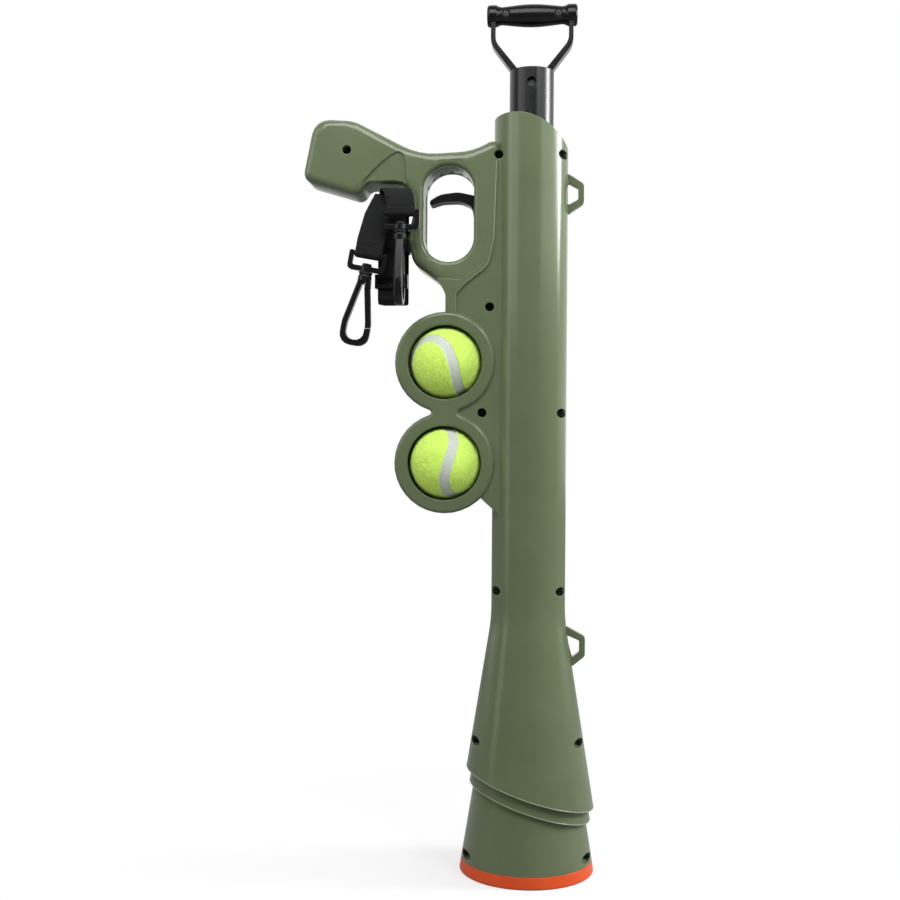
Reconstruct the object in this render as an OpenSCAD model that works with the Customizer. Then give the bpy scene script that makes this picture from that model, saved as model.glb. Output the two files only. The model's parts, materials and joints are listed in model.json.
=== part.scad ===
// Hand-held dog tennis ball launcher, standing on its muzzle.
// X runs across the barrel away from the grip, Y away from the viewer, Z up the barrel axis.

/* [Barrel and bell] */
// Outer radius of the straight barrel
barrel_r = 32.5; // [30:0.5:40]
// Wall of the moulded shells
wall = 2.5; // [2:0.1:3.2]
// Outer radius of the bell at the muzzle
bell_r = 59.1; // [55:0.5:66]
// Radius gained per millimetre of height along the bell
bell_slope = 0.16; // [0.15:0.005:0.18]
// Step between the lower cone and the band above it
band_step = 3.8; // [3:0.1:4.4]
// Step between the lower cone and the upper skirt
skirt_step = 8.7; // [7:0.1:9.5]
// Height of the skirt's slanted edge on the axis
skirt_z = 74; // [68:1:82]
// Upright height of the band under the skirt
band_h = 12; // [10:0.5:16]
// Slant of the skirt's edge
skirt_tilt = 17; // [10:1:20]
// Radius of the blend between bell and barrel
bell_blend = 160; // [80:10:240]
// Radius of the rounded rear end, seen from the side
tail_r = 61.4; // [58:0.2:70]

/* [Muzzle ring] */
// Height of the coloured muzzle ring
ring_h = 10.5; // [8:0.5:14]
// Length of the spigot that the ring puts inside the bell
spigot_h = 6; // [4:0.5:8]
// Thickness of the spigot
spigot_t = 2; // [1.5:0.1:2.5]
// Clear radius of the muzzle
muzzle_r = 51; // [48:0.5:51.5]

/* [Ball holders] */
// Radius of a tennis ball
ball_r = 31.5; // [30:0.1:33]
// Gap round a ball in its holder
ball_gap = 0.8; // [0.5:0.1:1.5]
// Width of a holder's rim
holder_rim = 11.7; // [9:0.1:14]
// Height of the lower ball's centre
ball_z = 358; // [345:1:375]
// How far a holder sinks into the side of the barrel
holder_sink = 2.9; // [2:0.1:5]
// Width of the neck between the holders
neck_w = 24; // [18:1:30]

/* [Frame and grip] */
// Half thickness of the plate between barrel and holders
plate_half = 20.5; // [18:0.5:22]
// Height of the frame and the holders over the plate
frame_rise = 2.5; // [1.5:0.1:4]
// Radius of the frame's rounded edges
frame_edge = 7; // [5:0.5:8]
// Width of the finger opening
open_w = 45; // [40:1:52]
// Height of the finger opening
open_h = 85; // [76:1:92]
// Flare of the finger opening's edges
open_flare = 4; // [2:0.5:5]
// Height of the web between upper holder and finger opening
open_web = 43.2; // [38:0.2:50]
// Width of the column between barrel and finger opening
column_w = 16.4; // [15:0.2:20]
// Width of the bar on the grip side of the finger opening
guard_w = 12; // [11:0.5:16]
// Reach of the grip from the barrel axis
grip_reach = 201; // [190:1:215]
// Slant of the grip's end
grip_rake = 11; // [6:1:16]

/* [Screws] */
// Radius of a screw's shank
screw_r = 1.5; // [1.2:0.1:1.8]
// Radius of a screw's head
screw_head_r = 3.2; // [2.8:0.1:3.5]
// Thickness of a screw's head
screw_head_h = 2.2; // [1.6:0.1:3]
// Reach of a screw past the parting plane
screw_reach = 11; // [8:0.5:14]
// Depth of the screw heads in front of the parting plane
screw_floor = 8; // [6:0.5:9]

/* [Plunger] */
// Outer radius of the plunger tube
tube_r = 19.5; // [18:0.1:20]
// Wall of the plunger tube
tube_wall = 2; // [1.5:0.1:3]
// Length of tube that stands out of the rear end
tube_out = 41.5; // [35:0.5:60]
// Pull of the plunger
stroke = 160; // [120:5:170]
// Radius of the plunger head
head_r = 22.4; // [21:0.1:22.6]
// Running gap between tube and bushes
run_gap = 0.08; // [0.04:0.01:0.1]
// Wire diameter of the main spring
spring_wire = 2; // [1.6:0.1:2.2]
// Number of turns of the main spring
spring_turns = 22; // [16:1:26]

/* [Handle] */
// Length of the handle bar
bar_l = 79.5; // [70:0.5:95]
// Radius of the handle bar at its middle
bar_r = 10.5; // [9.5:0.1:12]
// Height of the handle bar over the end of the tube
bar_rise = 50; // [44:0.5:60]
// Thickness of the yoke's arms
yoke_t = 4; // [3:0.1:5]
// Depth of the yoke's arms
yoke_d = 13; // [10:0.5:15]

/* [Trigger] */
// Height of the sear plate under the top of the finger opening
sear_drop = 18.6; // [16:0.2:22]
// Thickness of the sear plate
sear_t = 3; // [2:0.1:4]
// Height of the sear plate over the trigger pin
arm_l = 20; // [16:0.5:24]
// Pull of the trigger
trigger_pull = 12; // [8:0.5:14]
// Radius of the trigger pin
pin_r = 2; // [1.5:0.1:2.5]
// Width of the trigger blade
blade_d = 16; // [12:0.5:20]

/* [Sling eyes] */
// Thickness of a sling eye's bar
eye_bar = 5; // [4:0.2:6]
// Depth of a sling eye
eye_d = 8; // [6:0.5:10]
// Reach of a sling eye from the barrel's side
eye_reach = 14; // [12:0.5:18]
// Height of a sling eye along its foot
eye_h = 34; // [28:1:40]
// Height of the lower sling eye's middle
eye_low_z = 197.5; // [190:0.5:205]

/* [Carrying strap] */
// Width of the webbing
web_w = 24; // [20:1:26]
// Thickness of the webbing
web_t = 1.4; // [1:0.1:1.6]
// Number of doubled runs in the folded strap
web_runs = 6; // [4:2:6]
// Gap between neighbouring runs
web_gap = 1; // [0.6:0.1:1.2]
// Length of a run between its folds
web_run = 84; // [70:1:90]

/* [Hidden] */
$fn = 64;
fit = 0.1;
clear = 0.3;
big = 900;
lap = 36;
arc_steps = 4;
edge_steps = 3;
green = "darkolivegreen";
black = "dimgray";

// Places along the barrel
bore_r = barrel_r - wall;
skirt_r0 = bell_r + skirt_step;
bell_top = (skirt_r0 - barrel_r) / bell_slope;
holder_r = ball_r + ball_gap + holder_rim;
holder_hole = ball_r + ball_gap;
holder_x = -(barrel_r + holder_r - holder_sink);
ball_top_z = ball_z + 2 * holder_r;
open_z0 = ball_top_z + holder_r + open_web;
open_z1 = open_z0 + open_h;
open_x1 = -(barrel_r + column_w);
open_x0 = open_x1 - open_w;
guard_x = open_x0 - guard_w;
tail_z = open_z1 + 43.5;
frame_half = plate_half + frame_rise;
holder_half = frame_half + 0.5;
holder_edge = frame_edge / 2;
holder_steps = 32;
waist_steps = 4;
neck_half = frame_half - 0.2;
lip_r = ball_r * 0.76;
rim_y = holder_half - 1.8 * wall;
ball_out = 7;
lip_y = sqrt(ball_r * ball_r - lip_r * lip_r) + clear - ball_out;
tail_x = -19;
eye_top_z = open_z1 - 23;

// Screws and their bosses
boss_r = screw_head_r + 1.8;
screw_in = boss_r - 0.4;
muzzle_screw_z = ring_h + 6;
bell_screw_z = 116;
throat_z = bell_top + 26;
rear_screw_z = open_z1 + 8.5;
bridge_z = ball_z + holder_r;
bridge_r = neck_w * neck_w / 4 / (2 * holder_r - neck_w);
pair_z = [bell_screw_z, throat_z, rear_screw_z];
barrel_screws = concat(
    [for (v = [-1, 1]) [v * (bell_r - bell_slope * muzzle_screw_z - screw_in), muzzle_screw_z]],
    [for (z = pair_z, v = [-1, 1]) [v * (max(barrel_r, skirt_r0 - bell_slope * z) - screw_in), z]],
    [[barrel_r - screw_in, bridge_z]]);
grip_screws_at = [[-grip_reach + 40, open_z1 + 13.3]];
plate_screws = [[-barrel_r - 2.5, ball_top_z + holder_r + 4.2], [-barrel_r - 8.5, bridge_z]];
all_screws = concat(barrel_screws, grip_screws_at, plate_screws);

// Plunger and its guides
push_r = 15;
bump_h = 8;
bump_z = throat_z + boss_r + 4;
head_z = bump_z + bump_h + clear;
push_z = head_z - 17;
tube_z = head_z + 12;
tube_top = tail_z + tube_out;
plug_r = tube_r - tube_wall - fit;
pin_head_z = tube_z + 10;
sear_z = open_z1 - sear_drop;
seat_z = open_z0 - 4;
seat_h = 16;
guide_z = sear_z + 8;
guide_h = 28;
bush_r = head_r + 0.2;
flange_r = bore_r - 2.6;
flange_t = 4;
keep_z = 165;
keep_h = 9;
keep_t = 2.2;
keep_bite = 0.8;
rib_r = bush_r + 0.3;
shelf = sear_t / 2 + clear;
ribs = [
    [keep_z - 4, keep_z - fit, ball_r + 3.5],
    [bump_z - 3.5, bump_z - fit, push_r + 5.5],
    [bump_z + bump_h + fit, bump_z + bump_h + 3, head_r + 0.6],
    [seat_z + 2, seat_z + 6 - fit, rib_r],
    [seat_z + 6 + flange_t + fit, seat_z + 10 + flange_t, rib_r],
    [sear_z - shelf - 3, sear_z - shelf, tube_r + 2],
    [sear_z + shelf, sear_z + shelf + 2.6, tube_r + 2],
    [guide_z - 0.5, guide_z + 3 - fit, rib_r],
    [guide_z + 3 + flange_t + fit, guide_z + 6 + flange_t, rib_r]];

// Handle
bar_z = tube_top + bar_rise;
bar_end_r = bar_r - 1;
bar_neck_r = bar_r - 3;
arm_x = bar_l / 2 - 7.5;
yoke_screw_z = tube_top - 13;
grip_screw_x = bar_l / 2 - 16.75;
grip_floor = 4;
grip_reach_y = 5;

// Trigger and sear
pin_x = -barrel_r - 7.5;
pin_z = sear_z - arm_l;
pin_y = frame_half - 5;
pin_boss_r = pin_r + 2.5;
pin_boss_y = blade_d / 2 + 5;
tongue_w = 15;
sear_pull = arm_l * trigger_pull * PI / 180;

// Radius of the bell's upper skirt and of its lower cone at a height
function skirt_at(z) = max(barrel_r, skirt_r0 - bell_slope * z);
function cone_at(z) = bell_r - bell_slope * z;

// Closed outline with rounded corners; each corner is [x, z, radius], counter-clockwise
function unit(v) = v / norm(v);
function left(v) = [-v.y, v.x];
function flat(p) = [p.x, p.y];
function corner(a, b, c, r) =
    let (u = unit(b - a), v = unit(c - b), turn = atan2(u.x * v.y - u.y * v.x, u * v),
         half = max(abs(turn) / 2, 0.01), lim = 0.49 * min(norm(b - a), norm(c - b)),
         t = min(r * tan(half), lim), rr = t / tan(half), side = turn < 0 ? -1 : 1)
    [for (k = [0 : arc_steps]) let (f = abs(turn) * k / arc_steps)
        b - t * u + rr * (sin(f) * u + side * (1 - cos(f)) * left(u))];
function rounded(P) = let (n = len(P))
    [for (i = [0 : n - 1])
        each corner(flat(P[(i + n - 1) % n]), flat(P[i]), flat(P[(i + 1) % n]), P[i][2])];
// The same outline moved inwards by d, corner for corner
function inset(P, d) = let (n = len(P))
    [for (i = [0 : n - 1])
        let (u = unit(flat(P[i]) - flat(P[(i + n - 1) % n])), v = unit(flat(P[(i + 1) % n]) - flat(P[i])),
             bend = u.x * v.y - u.y * v.x, q = flat(P[i]) + d * (left(u) + left(v)) / (1 + u * v))
        [q.x, q.y, max(P[i][2] - (bend < 0 ? -d : d), 0.4)]];

// Triangles of a closed outline, one ear cut off at a time; each triangle holds three of the point numbers I
function bend(a, b, c) = (b.x - a.x) * (c.y - a.y) - (b.y - a.y) * (c.x - a.x);
function covers(a, b, c, p) = bend(a, b, p) >= 0 && bend(b, c, p) >= 0 && bend(c, a, p) >= 0;
function ear_at(P, I, k) = let (n = len(I), a = P[I[(k + n - 1) % n]], b = P[I[k]], c = P[I[(k + 1) % n]])
    bend(a, b, c) > 0.0001
    && len([for (j = [2 : 1 : n - 2]) if (covers(a, b, c, P[I[(k + j) % n]])) 1]) == 0;
function next_ear(P, I, k = 0) = k >= len(I) ? 0 : ear_at(P, I, k) ? k : next_ear(P, I, k + 1);
function ears(P, I, out = []) = let (n = len(I)) n < 3 ? out
    : let (k = next_ear(P, I)) ears(P, [for (j = [1 : n - 1]) I[(k + j) % n]],
        concat(out, [[I[(k + n - 1) % n], I[k], I[(k + 1) % n]]]));

// Solid through a stack of rings that all have the same number of points, with ends of the given triangles
module loft(rings, ends = []) {
    n = len(rings[0]);
    m = len(rings);
    flat_end = len(ends) > 0 ? ends : [[for (i = [0 : n - 1]) i]];
    sides = [for (j = [0 : m - 2], i = [0 : n - 1]) let (k = (i + 1) % n)
        each [[j * n + i, j * n + k, (j + 1) * n + k], [j * n + i, (j + 1) * n + k, (j + 1) * n + i]]];
    foot = [for (f = flat_end) [for (i = [len(f) - 1 : -1 : 0]) f[i]]];
    head = [for (f = flat_end) [for (i = f) (m - 1) * n + i]];
    polyhedron([for (r = rings) each r], concat(sides, foot, head));
}

// Depths and insets of the rings that make quarter-round edges, centred on the parting plane
function edge_levels(half, edge) = let (arcs = [for (k = [0 : edge_steps]) 90 * k / edge_steps])
    concat([for (a = arcs) [-half + edge - edge * sin(90 - a), edge * (1 - cos(90 - a))]],
           [for (a = arcs) [half - edge + edge * sin(a), edge * (1 - cos(a))]]);
function count(P) = [for (i = [0 : len(P) - 1]) i];
// Upright slab with quarter-round edges
module slab(P, half, edge) {
    face = rounded(inset(P, edge));
    loft([for (v = edge_levels(half, edge)) [for (q = rounded(inset(P, v[1]))) [q.x, v[0], q.y]]],
        ears(face, count(face)));
}

// Upright prism of an outline between two depths
module prism(P, y0, y1) translate([0, y1, 0]) rotate([90, 0, 0])
    linear_extrude(y1 - y0) polygon(rounded(P));

// Cylinder along Y
module bar_y(x, z, r, y0, y1) translate([x, y1, z]) rotate([90, 0, 0]) cylinder(h = y1 - y0, r = r);

// Half space over a plane that slants down towards +X
module above(z, tilt) translate([0, 0, z]) rotate([0, tilt, 0])
    translate([-big / 2, -big / 2, 0]) cube(big);

// Barrel and bell with every surface moved inwards by d
module barrel_form(d) {
    drop = d * 1.2;
    low = skirt_z - band_h;
    cone_top = skirt_z + lap;
    band_low = low - lap;
    skirt_low = skirt_z - lap;
    end_z = tail_z + lap;
    difference() {
        union() {
            rotate_extrude() polygon([[0, -1], [cone_at(-1) - d, -1], [cone_at(cone_top) - d, cone_top],
                [0, cone_top]]);
            intersection() {
                rotate_extrude() polygon([[0, band_low], [cone_at(band_low) + band_step - d, band_low],
                    [cone_at(cone_top) + band_step - d, cone_top], [0, cone_top]]);
                above(low + drop, skirt_tilt);
            }
            intersection() {
                rotate_extrude() polygon(rounded([[0, skirt_low, 0],
                    [skirt_at(skirt_low) - d, skirt_low, 0], [barrel_r - d, bell_top, bell_blend],
                    [barrel_r - d, end_z, 0], [0, end_z, 0]]));
                above(skirt_z + drop, skirt_tilt);
            }
        }
        tail_cut(d);
    }
}
// Everything over the rounded rear end
module tail_cut(d) difference() {
    translate([-big / 2, -big / 2, tail_z - tail_r]) cube(big);
    bar_y(tail_x, tail_z - tail_r, tail_r - d, -big / 2 - 1, big / 2 + 1);
}

// Outline of the grip and the frame round the finger opening
grip_top = open_z1 + 42;
frame_pts = [
    [guard_x - 50, grip_top - 2, 30],
    [-grip_reach + tan(grip_rake) * 54, grip_top, 16],
    [-grip_reach, open_z1 - 12, 9],
    [guard_x - 44, open_z1 - 27, 9],
    [guard_x - 38, open_z1 - 16, 8],
    [guard_x, open_z1 - 16, 14],
    [guard_x + 3, open_z1 - 44, 20],
    [guard_x - 2, open_z1 - 64, 18],
    [guard_x + 4, open_z0 - 1, 16],
    [holder_x - 6, open_z0 - 17, 20],
    [holder_x + 16, open_z0 - 22, 8],
    [-barrel_r - 2, open_z0 - 4, 18],
    [-barrel_r + 3, open_z0 + 20, 30],
    [-barrel_r + 5, open_z1, 10],
    [-barrel_r + 5, open_z1 + 25, 6],
    [-barrel_r - 18, open_z1 + 12.5, 60],
    [open_x0 - 4, open_z1 + 10, 60]];
open_pts = [
    [open_x0, open_z0, open_w * 0.49],
    [open_x1, open_z0, open_w * 0.49],
    [open_x1, open_z1, open_w * 0.49],
    [open_x0, open_z1, open_w * 0.49]];
plate_pts = [
    [-barrel_r * 0.6, ball_z - holder_r - 6, 2],
    [-barrel_r * 0.6, open_z1 + 10, 2],
    [open_x1 + 6, open_z1 + 6, 2],
    [open_x1 + 6, open_z0, 10],
    [holder_x, open_z0 - 24, 4],
    [holder_x, ball_z, 2],
    [-barrel_r - 4, ball_z - holder_r * 0.8, 12]];
// Raised strip from the frame down to the upper holder
neck_pts = [
    [holder_x + 2, ball_top_z + holder_r - 6, 0],
    [holder_x + 9.5, ball_top_z + holder_r - 6, 0],
    [holder_x + 9.5, open_z0 - 27, 7],
    [holder_x + 20, open_z0 - 16, 0],
    [holder_x - 8, open_z0 - 14, 0],
    [holder_x, open_z0 - 27, 18]];
// Flared finger opening
module finger_opening() {
    h = frame_half;
    past = open_flare * 0.15;
    step = open_flare * 0.3;
    levels = [[-h - past, -open_flare - past], [-h + step, -open_flare / 2], [-h + open_flare, 0],
        [h - open_flare, 0], [h - step, -open_flare / 2], [h + past, -open_flare - past]];
    loft([for (v = levels) [for (q = rounded(inset(open_pts, v[1]))) [q.x, v[0], q.y]]]);
}

// Outline round both ball holders with a rounded waist, moved inwards by d
function arc_at(x, z, r, from, turn, steps) = [for (k = [0 : steps]) let (f = from + turn * k / steps)
    [x + r * cos(f), z + r * sin(f)]];
function inner(P) = [for (i = [1 : len(P) - 2]) P[i]];
function eight(d) = let (out = neck_w / 2 + bridge_r, a = atan2(holder_r, out), sweep = 180 + 2 * a)
    concat(arc_at(holder_x, ball_z, holder_r - d, 180 - a, sweep, holder_steps),
           inner(arc_at(holder_x + out, bridge_z, bridge_r + d, 180 + a, -2 * a, waist_steps)),
           arc_at(holder_x, ball_top_z, holder_r - d, -a, sweep, holder_steps),
           inner(arc_at(holder_x - out, bridge_z, bridge_r + d, a, -2 * a, waist_steps)));
// Rims of the two ball holders in one figure
module holders() {
    face = eight(holder_edge);
    loft([for (v = edge_levels(holder_half, holder_edge)) [for (q = eight(v[1])) [q.x, v[0], q.y]]],
        ears(face, count(face)));
}
// Hollow that takes a ball from the front against a lip behind
module holder_hollow(z) translate([holder_x, 0, z]) rotate([90, 0, 0]) {
    rotate_extrude() polygon([[0, -lip_y], [holder_hole, -lip_y], [holder_hole, holder_half - 1],
        [holder_hole + 2, holder_half + 1], [0, holder_half + 1]]);
    translate([0, 0, -holder_half - 1]) cylinder(h = 2 * holder_half, r = lip_r);
}
// Closed hollow inside a holder's rim
module rim_hollow(z) translate([holder_x, 0, z]) rotate([90, 0, 0]) rotate_extrude()
    translate([holder_hole + wall, -rim_y]) square([holder_rim - 2 * wall, 2 * rim_y]);

// Sling eye on the parting plane, with its foot in the wall between two heights
module sling_eye(z) {
    z0 = z - eye_h / 2;
    z1 = z + eye_h / 2;
    out = skirt_at(z) + eye_reach;
    sunk = wall / 2;
    x0 = skirt_at(z0) - sunk;
    x1 = skirt_at(z1) - sunk;
    gap = eye_bar + 2;
    difference() {
        prism([[x0, z0, 0], [x0 + sunk + 1, z0, 1], [out, z - eye_h / 4, 4], [out, z + eye_h / 4, 4],
            [x1 + sunk + 1, z1, 1], [x1, z1, 0]], -eye_d / 2, eye_d / 2);
        prism([[x0 + sunk, z0 + gap, 1], [out - eye_bar, z - eye_h / 4 + gap / 2, 2],
            [out - eye_bar, z + eye_h / 4 - gap / 2, 2], [x1 + sunk, z1 - gap, 1]], -eye_d, eye_d);
    }
}

module shell_outside() {
    barrel_form(0);
    slab(frame_pts, frame_half, frame_edge);
    prism(plate_pts, -plate_half, plate_half);
    prism(neck_pts, -neck_half, neck_half);
    holders();
}

// Hollow of grip, plate and trigger column, outside the barrel and clear of holders and opening
module frame_hollow() difference() {
    union() {
        prism(inset(frame_pts, wall + frame_edge / 5), -frame_half + wall, frame_half - wall);
        prism(inset(plate_pts, wall), -plate_half + wall, plate_half - wall);
    }
    difference() {
        prism(inset(open_pts, -guard_w + 1), -big / 2, big / 2);
        translate([open_x1 + wall, -big / 2, open_z0 + 6]) cube([big, big, open_h]);
    }
    prism(inset(open_pts, -wall), -big / 2, big / 2);
    cylinder(h = big, r = barrel_r);
    bar_y(holder_x, ball_z, holder_r, -big / 2, big / 2);
    bar_y(holder_x, ball_top_z, holder_r, -big / 2, big / 2);
}

// Ring rib inside the barrel
module rib(z0, z1, r) rotate_extrude() polygon([[r, z0], [bell_r + 10, z0], [bell_r + 10, z1], [r, z1]]);

module shell_body() difference() {
    union() {
        difference() {
            shell_outside();
            barrel_form(wall);
            frame_hollow();
        }
        intersection() {
            barrel_form(wall / 2);
            union() {
                for (p = barrel_screws) bar_y(p.x, p.y, boss_r, -big / 2, big / 2);
                for (v = ribs) rib(v[0], v[1], v[2]);
            }
        }
        for (p = grip_screws_at) bar_y(p.x, p.y, boss_r, -frame_half + wall / 2, frame_half - wall / 2);
        for (p = plate_screws) bar_y(p.x, p.y, boss_r, -plate_half + wall / 2, plate_half - wall / 2);
        for (v = [-1, 1]) bar_y(pin_x, pin_z, pin_boss_r, v > 0 ? pin_boss_y : -frame_half + wall / 2,
            v > 0 ? frame_half - wall / 2 : -pin_boss_y);
        sling_eye(eye_low_z);
        sling_eye(eye_top_z);
    }
    finger_opening();
    holder_hollow(ball_z);
    holder_hollow(ball_top_z);
    rim_hollow(ball_z);
    rim_hollow(ball_top_z);
    translate([-big / 2, -big / 2, ring_h - big]) cube(big);
    cylinder(h = big, r = tube_r + 1);
    bar_y(pin_x, pin_z, pin_r + fit / 2, -pin_y, pin_y);
    translate([open_x1 - 6, -blade_d / 2 - 1, pin_z - 27]) cube([6 + wall + 1, blade_d + 2, 47]);
    translate([-barrel_r - 1, -tongue_w / 2 - 0.7, sear_z - sear_t / 2 - 0.5])
        cube([wall + 5, tongue_w + 1.4, sear_t + 1]);
}

// Screw holes: wide for the heads from the front, tight behind the parting plane
module screw_holes(front) for (p = all_screws) {
    if (front) {
        bar_y(p.x, p.y, screw_head_r + 0.7, -big / 2, -screw_floor);
        bar_y(p.x, p.y, screw_r + 0.2, -screw_floor - 1, 1);
    } else bar_y(p.x, p.y, screw_r + fit / 2, -1, screw_reach + 1);
}

module front_shell() color(green) difference() {
    shell_body();
    translate([-big / 2, 0, -1]) cube(big);
    screw_holes(true);
}
module rear_shell() color(green) difference() {
    shell_body();
    translate([-big / 2, -big, -1]) cube(big);
    screw_holes(false);
}

module screw(p, floor_y, reach) {
    bar_y(p.x, p.y, screw_head_r, -floor_y - screw_head_h, -floor_y);
    bar_y(p.x, p.y, screw_r, -floor_y - 0.1, reach);
}
module shell_screws() color("black") for (p = all_screws) screw(p, screw_floor, screw_reach);

// Coloured ring that closes the bell's edge
module muzzle_ring() color("orangered") difference() {
    lip = cone_at(ring_h) - wall - fit;
    top = ring_h + spigot_h;
    tip = cone_at(top) - wall - fit;
    rotate_extrude() polygon(rounded([[muzzle_r, 0, 0], [bell_r, 0, 1.2], [cone_at(ring_h), ring_h, 0],
        [lip, ring_h, 0], [tip, top, 0], [tip - spigot_t, top, 0.8], [lip - spigot_t, ring_h, 0],
        [muzzle_r, ring_h, 0.5]]));
    for (p = barrel_screws) bar_y(p.x, p.y, boss_r + clear, -bell_r / 2, bell_r / 2);
}

// Flanged bush round the plunger tube
module bush(z, h, flange_z) {
    bush_in = tube_r + run_gap;
    flange_top = flange_z + flange_t;
    rotate_extrude() polygon([[bush_in, z], [bush_r, z], [bush_r, flange_z], [flange_r, flange_z],
        [flange_r, flange_top], [bush_r, flange_top], [bush_r, z + h], [bush_in, z + h]]);
}
module spring_seat() color(black) bush(seat_z, seat_h, seat_z + 6);
module rear_guide() color(black) bush(guide_z, guide_h, guide_z + 3);
module front_bumper() color("black") {
    bump_in = push_r + 2;
    bump_out = bore_r - clear;
    bump_top = bump_z + bump_h;
    rotate_extrude() polygon(rounded([[bump_in, bump_z, 1], [bump_out, bump_z, 1], [bump_out, bump_top, 1],
        [bump_in, bump_top, 1]]));
}

// Soft ring that keeps a loaded ball in the throat of the bell
module ball_retainer() color("black") {
    top = keep_z + keep_h;
    low_r = skirt_at(keep_z) - wall - clear;
    top_r = skirt_at(top) - wall - clear;
    rotate_extrude() polygon(rounded([[ball_r - keep_bite, keep_z + keep_h / 2, 1.5],
        [low_r - keep_t, keep_z, 1], [low_r, keep_z, 0], [top_r, top, 0], [top_r - keep_t, top, 1]]));
}

module plunger_tube() color("black") difference() {
    translate([0, 0, tube_z]) cylinder(h = tube_top - tube_z, r = tube_r);
    translate([0, 0, tube_z - 1]) cylinder(h = tube_top - tube_z + 2, r = tube_r - tube_wall);
    translate([tube_r - 3, -9, sear_z - stroke - 3]) cube([10, 18, 6]);
    bar_y(0, pin_head_z, pin_r + fit / 2, -big / 2, big / 2);
    bar_y(0, yoke_screw_z, screw_head_r + 0.8, -big / 2, 0);
}
// Flange that lands on the bumper, pusher with a cupped face, and spigot in the tube
module plunger_head() color(black) difference() {
    plug_z = pin_head_z + 10;
    rotate_extrude() polygon(rounded([[0, plug_z, 0], [0, push_z + 3, 0], [push_r - 2, push_z, 0],
        [push_r, push_z, 1], [push_r, head_z, 0], [head_r, head_z, 1], [head_r, tube_z, 0],
        [plug_r, tube_z, 0], [plug_r, plug_z, 1]]));
    bar_y(0, pin_head_z, pin_r + fit / 2, -big / 2, big / 2);
}
module head_pin() color("silver") bar_y(0, pin_head_z, pin_r, -tube_r + 0.2, tube_r - 0.2);

// Round wire along a list of points
function ring_at(P, i, r, sides) = let (n = len(P), t = unit(P[min(i + 1, n - 1)] - P[max(i - 1, 0)]),
    a = unit(cross(t, abs(t.z) < 0.9 ? [0, 0, 1] : [1, 0, 0])), b = cross(a, t))
    [for (k = [0 : sides - 1]) P[i] + r * (cos(360 * k / sides) * a + sin(360 * k / sides) * b)];
module wire(P, r, sides) loft([for (i = [0 : len(P) - 1]) ring_at(P, i, r, sides)]);
curl_rings = 16;
wire_sides = 6;
spring_z0 = tube_z + spring_wire / 2 + fit;
spring_z1 = seat_z - spring_wire / 2 - fit;
spring_r = tube_r + 0.8 + spring_wire / 2;
spring_pts = [for (k = [0 : spring_turns * curl_rings]) let (f = k / curl_rings)
    [spring_r * cos(360 * f), spring_r * sin(360 * f),
        spring_z0 + (spring_z1 - spring_z0) * f / spring_turns]];
module main_spring() color("silver") wire(spring_pts, spring_wire / 2, wire_sides);

// Forked yoke with a plug in the tube
module yoke_arm() prism([[-arm_x - yoke_t, bar_z + 4, 1], [-arm_x - yoke_t, tube_top + 24, 16],
    [-plug_r, tube_top - 1, 4], [-plug_r, tube_top - 8, 0], [-plug_r + yoke_t + 1.5, tube_top - 8, 0],
    [-plug_r + yoke_t + 1.5, tube_top + 1, 4], [-arm_x, tube_top + 26, 14], [-arm_x, bar_z + 4, 1]],
    -yoke_d / 2, yoke_d / 2);
module handle_yoke() color("black") difference() {
    union() {
        intersection() {
            union() {
                yoke_arm();
                mirror([1, 0, 0]) yoke_arm();
            }
            union() {
                translate([0, 0, tube_top - 20]) cylinder(h = 20 + fit, r = plug_r);
                translate([-big / 2, -big / 2, tube_top]) cube(big);
            }
        }
        translate([0, 0, tube_top - 26]) cylinder(h = 21, r = plug_r);
    }
    bar_y(0, yoke_screw_z, screw_head_r + 0.5, -big / 2, -plug_r + 4);
    bar_y(0, yoke_screw_z, screw_r + fit / 2, -big / 2, 1);
}
module yoke_screw() color("silver") screw([0, yoke_screw_z], plug_r - 4, 0);

// Two halves of the handle bar, clamped over the tops of the yoke
module handle_bar() translate([0, 0, bar_z]) rotate([0, 90, 0]) rotate_extrude()
    polygon(rounded([[0, -bar_l / 2, 0], [bar_end_r, -bar_l / 2, 2.5], [bar_end_r, -bar_l / 2 + 8, 4],
        [bar_neck_r, -bar_l / 2 + 12, 8], [bar_r, 0, 120], [bar_neck_r, bar_l / 2 - 12, 8],
        [bar_end_r, bar_l / 2 - 8, 4], [bar_end_r, bar_l / 2, 2.5], [0, bar_l / 2, 0]]));
module arm_slots() for (v = [-1, 1])
    translate([v * (arm_x + yoke_t / 2) - yoke_t / 2 - fit, -yoke_d / 2 - fit, bar_z - bar_r - 1])
        cube([yoke_t + 2 * fit, yoke_d + 2 * fit, bar_r + 5 + fit]);
module handle_grip_front() color("black") difference() {
    handle_bar();
    arm_slots();
    translate([-big / 2, 0, 0]) cube(big);
    for (v = [-1, 1]) {
        bar_y(v * grip_screw_x, bar_z, screw_head_r + 0.3, -big / 2, -grip_floor);
        bar_y(v * grip_screw_x, bar_z, screw_r + 0.2, -big / 2, 1);
    }
}
module handle_grip_rear() color("black") difference() {
    handle_bar();
    arm_slots();
    translate([-big / 2, -big, 0]) cube(big);
    for (v = [-1, 1]) bar_y(v * grip_screw_x, bar_z, screw_r + fit / 2, -1, grip_reach_y + 1);
}
module grip_screws() color("silver") for (v = [-1, 1])
    screw([v * grip_screw_x, bar_z], grip_floor, grip_reach_y);

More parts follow.
